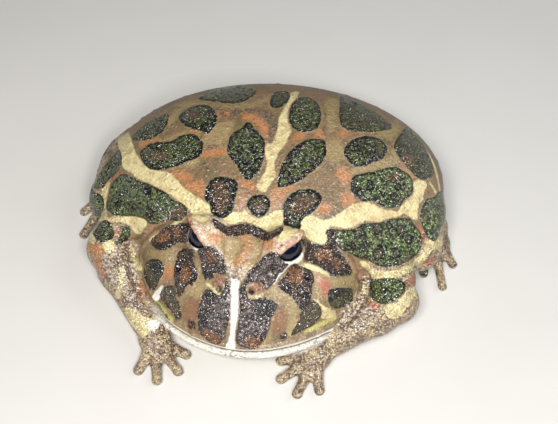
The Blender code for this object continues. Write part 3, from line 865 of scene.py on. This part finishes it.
def storeRegions():
    high = skinPoints[:, 2] / mm
    storeMask("lip", np.where(region("head", "lower", rounds=2) > 0.5, lipHeight(), 20.0))
    storeMask("limb", region("upper", "fore", "hand", "thigh", "shank", "foot", rounds=10))
    storeMask("face", region("head", "horn", rounds=12))
    storeMask("lid", region("horn", rounds=2))
    under = smoothStep(-skinFacing[:, 2], 0.0, 0.6) * (1 - smoothStep(high, 5.0, 14.0))
    storeMask("belly", np.maximum(under, region("lower", rounds=4) * 0.9))
    near = np.full(len(skinPoints), 9.0)
    for node in eyeNodes:
        low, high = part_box(node)
        middle, radius = np.array((low + high) / 2), (high.z - low.z) / 2
        offset = skinPoints - middle
        far = np.linalg.norm(offset, axis=1)
        behind = (offset @ np.array((0.8 * np.sign(middle[0]), 0.6, 0.0))) / far
        near = np.minimum(near, (far - radius) / mm + 0.35 * smoothStep(behind, 0.1, 0.7))
    storeMask("eyeNear", near)


storeRegions()
# Blotches stand a little proud and craters are sunk
relief = {"green": 0.22, "brown": 0.18, "craterRim": 0.3, "craterDepth": 0.45}  # mm
raised = sum(smoothStep(layers[name].depth, -0.3, 0.8) * relief[name] for name in ("green", "brown"))
raised += relief["craterRim"] * bell(layers["pit"].depth, -0.1, 0.4)
raised -= relief["craterDepth"] * smoothStep(layers["pit"].depth, 0.0, 0.8)
push(raised)
print("regions stored")


class Shader:
    # A short way to write a material's nodes
    def __init__(self, name):
        self.material = bpy.data.materials.new(name)
        self.material.use_nodes = True
        self.tree = self.material.node_tree
        self.surface = self.tree.nodes["Principled BSDF"]
        self.place = self.tree.nodes.new("ShaderNodeTexCoord").outputs["Object"]

    def put(self, socket, value):
        if isinstance(value, bpy.types.NodeSocket):
            self.tree.links.new(value, socket)
        elif isinstance(value, (tuple, list)) and len(value) == 3 and socket.type == "RGBA":
            socket.default_value = (*value, 1.0)
        else:
            socket.default_value = value

    def node(self, kind, inputs=None, out=0, **settings):
        made = self.tree.nodes.new(kind)
        for name, value in settings.items():
            setattr(made, name, value)
        for name, value in (inputs or {}).items():
            self.put(made.inputs[name], value)
        return made.outputs[out]

    def math(self, operation, a, b=0.0, c=0.0):
        return self.node("ShaderNodeMath", {0: a, 1: b, 2: c}, operation=operation)

    def attribute(self, name):
        return self.node("ShaderNodeAttribute", out="Fac", attribute_name=name)

    def noise(self, size, detail=2.0):
        inputs = {"Vector": self.place, "Scale": 1.0 / (size * mm), "Detail": detail}
        return self.node("ShaderNodeTexNoise", inputs, out="Fac")

    def granules(self, size):
        # Distance from each granule's middle, a shade of its own, and how its top leans, in mm
        cell = self.tree.nodes.new("ShaderNodeTexVoronoi")
        self.put(cell.inputs["Vector"], self.place)
        cell.inputs["Scale"].default_value = 1.0 / (size * mm)
        offset = self.node("ShaderNodeVectorMath", {0: self.place, 1: cell.outputs["Position"]}, operation="SUBTRACT")
        lean = self.node("ShaderNodeVectorMath", {0: cell.outputs["Color"], 1: (0.5, 0.5, 0.5)}, operation="SUBTRACT")
        dot = self.node("ShaderNodeVectorMath", {0: offset, 1: lean}, out="Value", operation="DOT_PRODUCT")
        shade = self.node("ShaderNodeSeparateColor", {"Color": cell.outputs["Color"]})
        return cell.outputs["Distance"], shade, self.math("MULTIPLY", dot, 1.0 / mm)

    def step(self, value, low, high, start=0.0, end=1.0):
        inputs = {"Value": value, "From Min": low, "From Max": high, "To Min": start, "To Max": end}
        return self.node("ShaderNodeMapRange", inputs, interpolation_type="SMOOTHSTEP")

    def mix(self, share, first, second, blend="MIX"):
        made = self.tree.nodes.new("ShaderNodeMix")
        made.data_type = "RGBA"
        made.blend_type = blend
        self.put(made.inputs[0], share)
        self.put(made.inputs[6], first)
        self.put(made.inputs[7], second)
        return made.outputs[2]

    def bump(self, height, distance, strength=1.0, normal=None):
        inputs = {"Height": height, "Distance": distance * mm, "Strength": strength}
        if normal is not None:
            inputs["Normal"] = normal
        return self.node("ShaderNodeBump", inputs)


grain = {
    "granule": 0.62,  # mm across
    "knob": 1.5,
    "bead": 0.16,  # mm high, and so are the next three
    "facet": 1.25,
    "knobHeight": 0.3,
    "fine": 0.05,
    "roughness": (0.48, 0.17),  # dry and wet
    "ior": 1.7,
    "shine": 0.6,
}
softTints = {
    # blur of the edge in mm, how ragged, and the most it covers
    "tan": (1.2, 2.2, 0.8),
    "pink": (1.1, 2.0, 0.8),
    "orange": (1.1, 2.2, 0.8),
    "sienna": (1.3, 2.2, 0.9),
    "sand": (0.7, 0.8, 0.95),
    "ridge": (1.1, 1.4, 0.85),
    "red": (0.8, 2.2, 0.85),
}
skinColours = {
    "ground": (0.2, 0.13, 0.063),
    "olive": (0.14, 0.1, 0.043),
    "pinkBrown": (0.23, 0.125, 0.075),
    "tan": (0.3, 0.225, 0.1),
    "faceTan": (0.22, 0.15, 0.07),
    "faceShade": (0.14, 0.085, 0.042),
    "limb": (0.36, 0.27, 0.16),
    "limbShade": (0.125, 0.08, 0.055),
    "purple": (0.085, 0.06, 0.05),
    "bellyShade": (0.36, 0.32, 0.24),
    "pink": (0.34, 0.18, 0.1),
    "orange": (0.42, 0.175, 0.06),
    "red": (0.36, 0.09, 0.045),
    "cream": (0.62, 0.54, 0.28),
    "creamShade": (0.44, 0.34, 0.16),
    "white": (0.74, 0.72, 0.65),
    "yellow": (0.5, 0.48, 0.13),
    "green": (0.115, 0.165, 0.05),
    "paleGreen": (0.27, 0.34, 0.13),
    "blotchOlive": (0.085, 0.08, 0.032),
    "nearBlack": (0.006, 0.006, 0.007),
    "core": (0.13, 0.085, 0.048),
    "umber": (0.075, 0.04, 0.02),
    "faceBlack": (0.013, 0.01, 0.012),
    "greyPurple": (0.15, 0.115, 0.105),
    "greyOlive": (0.085, 0.07, 0.042),
    "rust": (0.27, 0.12, 0.05),
    "rustShade": (0.12, 0.055, 0.035),
    "paleGranule": (0.62, 0.56, 0.56),
    "lid": (0.42, 0.3, 0.18),
    "lidRim": (0.34, 0.075, 0.04),
    "sienna": (0.21, 0.1, 0.042),
    "ridge": (0.42, 0.22, 0.1),
    # painted shade, multiplied into the hollows between the granules
    "paintedCreviceShade": (0.25, 0.2, 0.2),
    "jawShade": (0.15, 0.125, 0.085),
    "sand": (0.34, 0.25, 0.12),
    # painted highlight for the crowns of the lids
    "lidPaintedHighlight": (0.72, 0.62, 0.5),
}


def skinMaterial():
    s = Shader("wetSkin")
    c = skinColours
    distance, shade, lean = s.granules(grain["granule"])
    wide, wideShade, _ = s.granules(grain["knob"])
    speck = s.noise(0.9, 3.0)
    patch = s.noise(3.4, 3.0)
    wobble = s.math("SUBTRACT", s.noise(2.0, 3.0), 0.5)
    ragged = s.math("MULTIPLY_ADD", s.math("SUBTRACT", shade, 0.5), 0.45, wobble)  # edges follow the granules
    value = s.math("MULTIPLY_ADD", shade, 0.5, speck)
    face = s.step(s.attribute("face"), 0.35, 0.75)
    limb = s.step(s.attribute("limb"), 0.3, 0.8)

    def marked(name, blur, rough, most=1.0):
        return s.step(s.math("MULTIPLY_ADD", ragged, rough, s.attribute(name)), -blur, blur, 0.0, most)

    # ground colours
    ground = s.mix(s.step(s.noise(11.0, 3.0), 0.38, 0.62), c["ground"], c["olive"])
    ground = s.mix(s.step(patch, 0.5, 0.68, 0.0, 0.7), ground, c["pinkBrown"])
    faceGround = s.mix(s.step(patch, 0.4, 0.68), c["faceTan"], c["faceShade"])
    colour = s.mix(face, ground, faceGround)
    clump = s.math("MULTIPLY_ADD", patch, 0.9, value)
    limbGround = s.mix(s.step(clump, 1.02, 1.26), c["limbShade"], c["limb"])
    limbGround = s.mix(s.step(clump, 1.42, 1.56, 0.0, 0.8), limbGround, c["cream"])
    colour = s.mix(limb, colour, limbGround)
    lid = s.attribute("lid")
    # painted highlight: pale streaks across each lid's crown
    shine = s.step(s.math("MULTIPLY_ADD", patch, 1.6, value), 1.35, 1.75, 0.0, 0.85)
    lidColour = s.mix(shine, c["lid"], c["lidPaintedHighlight"])
    colour = s.mix(lid, colour, lidColour)
    colour = s.mix(s.step(value, 0.55, 0.42, 0.0, 0.35), colour, c["purple"])
    # soft tints
    for name, edge in softTints.items():
        colour = s.mix(marked(name, *edge), colour, c[name])
    pores = s.math("MULTIPLY", s.step(wide, 0.2, 0.1), s.step(wideShade, 0.6, 0.68))
    colour = s.mix(s.math("MULTIPLY", pores, s.step(face, 1.0, 0.0, 0.0, 0.75)), colour, c["purple"])
    dots = s.math("MULTIPLY", marked("purple", 0.8, 1.2), s.step(value, 0.78, 0.66))
    colour = s.mix(dots, colour, c["purple"])
    # pale bands
    halo = s.math("MULTIPLY", s.step(s.attribute("green"), -1.3, -0.2), s.step(patch, 0.35, 0.6, 0.1, 0.5))
    colour = s.mix(halo, colour, c["tan"])
    cream = s.mix(s.step(patch, 0.42, 0.66, 0.0, 0.75), c["cream"], c["creamShade"])
    creamMask = marked("cream", 0.35, 0.7)
    colour = s.mix(creamMask, colour, cream)
    colour = s.mix(marked("yellow", 0.5, 1.0, 0.7), colour, c["yellow"])
    whiteMask = marked("white", 0.35, 0.6)
    colour = s.mix(whiteMask, colour, c["white"])
    # green blotches
    depth, tint = s.attribute("green"), s.attribute("greenTint")
    olive = s.mix(s.step(value, 0.55, 0.9), c["nearBlack"], c["blotchOlive"])
    fill = s.mix(s.step(value, 0.58, 0.84), c["nearBlack"], c["green"])
    fill = s.mix(s.step(value, 0.93, 1.03, 0.0, 0.75), fill, c["paleGreen"])
    fill = s.mix(tint, olive, fill)
    fill = s.mix(s.step(patch, 0.56, 0.68, 0.0, 0.45), fill, c["core"])
    inner = s.mix(s.step(value, 0.5, 0.85), c["rustShade"], c["core"])
    fill = s.mix(marked("core", 0.5, 1.2, 0.85), fill, inner)
    rim = s.math("SUBTRACT", s.math("MULTIPLY_ADD", ragged, 0.9, depth), s.attribute("greenRim"))
    fill = s.mix(s.step(rim, 0.75, -0.15, 0.0, 0.95), fill, c["nearBlack"])
    pit = s.attribute("pit")
    fill = s.mix(s.step(pit, -0.6, -0.1, 0.0, 0.95), fill, c["nearBlack"])
    fill = s.mix(s.step(pit, 0.3, 0.65), fill, c["blotchOlive"])
    greenMask = marked("green", 0.2, 0.6)
    colour = s.mix(greenMask, colour, fill)
    # brown blotches of the face
    depth, tint = s.attribute("brown"), s.attribute("brownTint")
    fill = s.mix(s.step(value, 0.55, 0.88), c["faceBlack"], c["umber"])
    grey = s.mix(s.step(value, 0.55, 0.88), c["faceBlack"], c["greyPurple"])
    grey = s.mix(s.step(value, 0.98, 1.05, 0.0, 0.6), grey, c["paleGranule"])
    fill = s.mix(s.step(tint, 0.05, 0.65), fill, grey)
    fill = s.mix(s.step(tint, 0.85, 1.0), fill, c["greyOlive"])
    rim = s.math("SUBTRACT", s.math("MULTIPLY_ADD", ragged, 0.9, depth), s.attribute("brownRim"))
    fill = s.mix(s.step(rim, 0.6, -0.15, 0.0, 0.9), fill, c["faceBlack"])
    fill = s.mix(s.step(pit, -0.5, -0.1, 0.0, 0.9), fill, c["faceBlack"])
    brownMask = marked("brown", 0.2, 0.9)
    colour = s.mix(brownMask, colour, fill)
    rust = s.mix(s.step(value, 0.55, 0.85), c["rustShade"], c["rust"])
    colour = s.mix(marked("rust", 0.6, 1.4, 0.85), colour, rust)
    # black marks, with painted shade in the nostrils and along the jaw's crease
    inkAndShadeMask = marked("ink", 0.5, 1.6, 0.85)
    colour = s.mix(inkAndShadeMask, colour, c["faceBlack"])
    # pale and dark granules side by side
    speckled = s.mix(s.step(value, 0.88, 0.96, 0.0, 0.8), colour, c["paleGranule"])
    speckled = s.mix(s.step(value, 0.66, 0.54, 0.0, 0.9), speckled, c["purple"])
    colour = s.mix(marked("speckle", 0.9, 1.4), colour, speckled)
    # lid rims, the pale flesh round the eyes, and painted shade deep in the eye sockets
    colour = s.mix(s.math("MULTIPLY", marked("lidRim", 0.3, 0.5, 0.9), s.step(lid, 0.2, 0.6)), colour, c["lidRim"])
    flesh = s.math("MULTIPLY", s.step(s.attribute("eyeNear"), 0.42, 0.2), s.step(lid, 0.45, 0.2))
    colour = s.mix(flesh, colour, c["white"])
    # painted shade: the skin closest to each eyeball is made black
    colour = s.mix(s.step(s.attribute("eyeNear"), 0.2, 0.08), colour, c["faceBlack"])
    # underside and lips, with painted shade along the mouth's groove
    under = s.attribute("belly")
    belly = s.mix(s.step(patch, 0.5, 0.68, 0.0, 0.5), c["white"], c["bellyShade"])
    belly = s.mix(s.step(s.math("ADD", value, patch), 1.12, 0.92, 0.0, 0.75), belly, c["jawShade"])
    colour = s.mix(under, colour, belly)
    lip = s.attribute("lip")
    upper = s.math("MULTIPLY", s.step(lip, 1.6, 1.1), s.step(lip, 0.0, 0.25))
    colour = s.mix(s.math("MULTIPLY", upper, 0.85), colour, c["white"])
    # painted shade: a dark band along the groove of the mouth line
    paintedShade = s.math("MULTIPLY", s.step(lip, 0.35, 0.1), s.step(lip, -0.45, -0.2))
    colour = s.mix(s.math("MULTIPLY", paintedShade, 0.85), colour, c["greyOlive"])
    # wetness, painted shade in the hollows between granules, and relief
    wet = s.math("MULTIPLY", limb, 0.5)
    for mask in (greenMask, brownMask, inkAndShadeMask):
        wet = s.math("MAXIMUM", wet, mask)
    # painted shade: the hollows between the granules are darkened
    paintedCreviceShade = s.step(distance, 0.35, 0.75)
    shaded = s.math("MULTIPLY", paintedCreviceShade, s.step(wet, 0.0, 1.0, 0.16, 0.5))
    colour = s.mix(shaded, colour, c["paintedCreviceShade"], "MULTIPLY")
    relief = s.math("MULTIPLY", s.step(wet, 0.0, 1.0, 0.3, 1.0), s.step(under, 0.0, 1.0, 1.0, 0.3))
    bead = s.math("MULTIPLY", s.step(distance, 0.7, 0.2), relief)
    normal = s.bump(bead, grain["bead"])
    facet = s.math("MULTIPLY", lean, relief)
    normal = s.bump(facet, grain["facet"], 1.0, normal)
    knob = s.math("MULTIPLY", s.step(wide, 0.6, 0.1), s.step(wideShade, 0.55, 0.85))
    normal = s.bump(knob, grain["knobHeight"], 0.8, normal)
    normal = s.bump(s.noise(0.3, 2.0), grain["fine"], 0.7, normal)
    s.put(s.surface.inputs["Base Color"], colour)
    s.put(s.surface.inputs["Normal"], normal)
    s.put(s.surface.inputs["Roughness"], s.step(wet, 0.0, 1.0, *grain["roughness"]))
    s.surface.inputs["IOR"].default_value = grain["ior"]
    s.surface.inputs["Specular IOR Level"].default_value = grain["shine"]
    return s.material


def dress(obj, material):
    obj.data.materials.clear()
    obj.data.materials.append(material)
    for polygon in obj.data.polygons:
        polygon.use_smooth = True


dress(frogSkin, skinMaterial())
low, high = np.array(cadBox[0]), np.array(cadBox[1])
setPoints(frogSkin.data, np.clip(points(frogSkin.data), low, high))
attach(frogSkin, "root")
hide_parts(*fleshNodes)
print("skin dressed")

eyes = {
    "gaze": (0.66, -0.55, 0.51),  # the left one; the right one is its mirror
    "pupil": (0.86, 0.74),  # half width and half height, as shares of the ball's radius
    "iris": 0.93,
    "size": 0.965,  # of the node's ball
    "sunk": 0.35,  # mm back along the gaze
    # the pupil: black, with a blue painted sheen
    "pupilBlackAndSheen": (0.002, 0.003, 0.012),
    "brown": ((0.004, 0.003, 0.005), (0.016, 0.01, 0.008)),
    "edge": (0.008, 0.006, 0.006),
}


def makeEye(node, name, side):
    low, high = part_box(node)
    middle, radius = (low + high) / 2, (high.z - low.z) / 2
    gaze = Vector((side * eyes["gaze"][0], eyes["gaze"][1], eyes["gaze"][2])).normalized()
    radius *= eyes["size"]
    middle -= gaze * eyes["sunk"] * mm
    turn = gaze.to_track_quat("Z", "Y").to_matrix()
    form = bmesh.new()
    bmesh.ops.create_uvsphere(form, u_segments=72, v_segments=48, radius=radius)
    mesh = bpy.data.meshes.new(name)
    form.to_mesh(mesh)
    form.free()
    obj = bpy.data.objects.new(name, mesh)
    scene.collection.objects.link(obj)
    local = points(mesh) / radius
    world = local @ np.array(turn).T * radius + np.array(middle)
    setPoints(mesh, world)
    level = Vector((0, 0, 1)).cross(gaze).normalized()
    upward = gaze.cross(level)
    offset = (world - np.array(middle)) / radius
    for label, values in (("eyeAcross", offset @ np.array(level)), ("eyeUp", offset @ np.array(upward)),
                          ("eyeFront", offset @ np.array(gaze))):
        made = mesh.attributes.new(label, "FLOAT", "POINT")
        made.data.foreach_set("value", values.astype(np.float32))
    dress(obj, eyeMaterial)
    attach(obj, "root")
    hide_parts(node)
    return obj


def makeEyeMaterial():
    s = Shader("wetEye")
    across, up, front = (s.attribute(name) for name in ("eyeAcross", "eyeUp", "eyeFront"))
    wide = s.math("DIVIDE", across, eyes["pupil"][0])
    tall = s.math("DIVIDE", up, eyes["pupil"][1])
    oval = s.math("SQRT", s.math("ADD", s.math("MULTIPLY", wide, wide), s.math("MULTIPLY", tall, tall)))
    ring = s.math("SQRT", s.math("ADD", s.math("MULTIPLY", across, across), s.math("MULTIPLY", up, up)))
    flecks = s.noise(0.35, 3.0)
    iris = s.mix(s.step(flecks, 0.4, 0.65), *eyes["brown"])
    # pupil black with a blue painted sheen, then the iris
    colour = s.mix(s.step(oval, 0.98, 1.04), eyes["pupilBlackAndSheen"], iris)
    colour = s.mix(s.step(ring, eyes["iris"] - 0.03, eyes["iris"] + 0.02), colour, eyes["edge"])
    s.put(s.surface.inputs["Base Color"], colour)
    s.surface.inputs["Roughness"].default_value = 0.12
    s.surface.inputs["Coat Weight"].default_value = 0.5
    s.surface.inputs["Coat Roughness"].default_value = 0.03
    s.surface.inputs["Specular IOR Level"].default_value = 0.3
    return s.material


eyeMaterial = makeEyeMaterial()
eyeLeft = makeEye("eye_left", "eyeLeft", 1)
eyeRight = makeEye("eye_right", "eyeRight", -1)
print("eyes made")

studio = {
    "floor": (0.56, 0.55, 0.53),
    "size": 3.0,  # metres
    "sky": (0.80, 0.82, 0.86),
    "skyStrength": 0.11,
}
lamps = {
    # place, side in metres, watts, colour
    "key": ((-0.03, -0.34, 0.50), 0.17, 3.75, (1.0, 0.97, 0.93)),
    "fill": ((0.5, 0.1, 0.5), 0.5, 1.9, (0.92, 0.96, 1.0)),
    "spark": ((0.10, -0.24, 0.30), 0.06, 0.85, (1.0, 0.99, 0.97)),
}


def makeLight(name, place, side, watts, colour):
    lamp = bpy.data.objects.new(name, bpy.data.lights.new(name, "AREA"))
    lamp.data.size = side
    lamp.data.energy = watts
    lamp.data.color = colour
    lamp.location = place
    lamp.rotation_euler = (Vector((0.0, 0.0, 0.02)) - Vector(place)).to_track_quat("-Z", "Y").to_euler()
    scene.collection.objects.link(lamp)


def makeStudio():
    form = bmesh.new()
    bmesh.ops.create_grid(form, x_segments=1, y_segments=1, size=studio["size"] / 2)
    mesh = bpy.data.meshes.new("floor")
    form.to_mesh(mesh)
    form.free()
    floor = bpy.data.objects.new("floor", mesh)
    scene.collection.objects.link(floor)
    s = Shader("paleFloor")
    shade = s.mix(s.noise(30.0, 3.0), studio["floor"], tuple(v * 0.94 for v in studio["floor"]))
    s.put(s.surface.inputs["Base Color"], shade)
    s.surface.inputs["Roughness"].default_value = 0.85
    dress(floor, s.material)
    world = bpy.data.worlds.new("studio")
    scene.world = world
    world.use_nodes = True
    sky = world.node_tree.nodes["Background"]
    sky.inputs["Color"].default_value = (*studio["sky"], 1.0)
    sky.inputs["Strength"].default_value = studio["skyStrength"]
    for name, setting in lamps.items():
        makeLight(name, *setting)
    scene.view_settings.view_transform = "Standard"


makeStudio()
print("studio lit")
